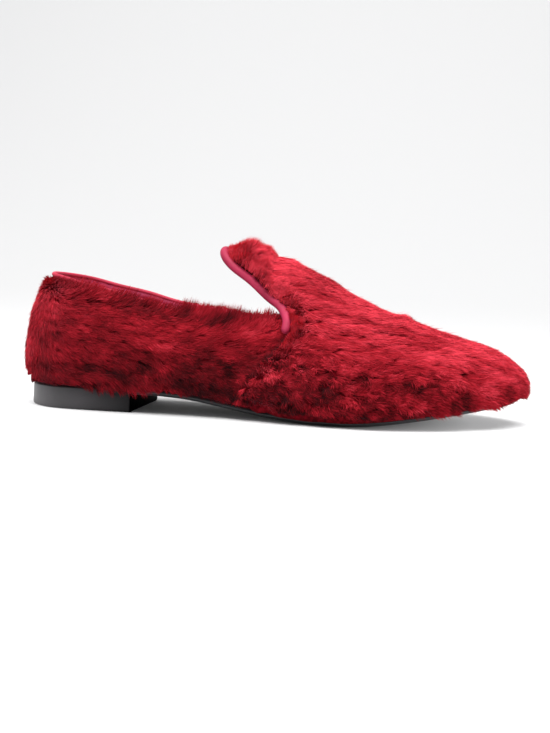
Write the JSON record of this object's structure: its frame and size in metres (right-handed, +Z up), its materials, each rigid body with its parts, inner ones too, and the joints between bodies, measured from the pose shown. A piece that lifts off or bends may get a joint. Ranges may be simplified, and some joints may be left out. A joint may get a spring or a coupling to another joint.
{
  "type": "shearling loafer",
  "caption": "Slipper-style loafer in deep combed shearling, with a tongue in one with the vamp, leather piping along its edge, an almond toe and a low flat heel.",
  "frame": {"origin": "centre of the heel block's flat tread, on the floor", "axes": "+X to the toe, +Y to the big-toe side of a right shoe, +Z up from the floor"},
  "size_m": [0.2868, 0.1045, 0.0963],
  "materials": {
    "black_sole": "satin black, smooth edge",
    "black_heel": "satin black",
    "insole_leather": "smooth, raspberry",
    "shearling": "deep crimson pile, combed towards the toe",
    "piping_leather": "raspberry, soft sheen",
    "binding_leather": "raspberry, soft sheen"
  },
  "bodies": {
    "root": {"outsole": "black_sole", "heel_block": "black_heel", "insole": "insole_leather", "upper": "shearling", "vamp_piping": "piping_leather", "collar_binding": "binding_leather"}
  },
  "joints": []
}
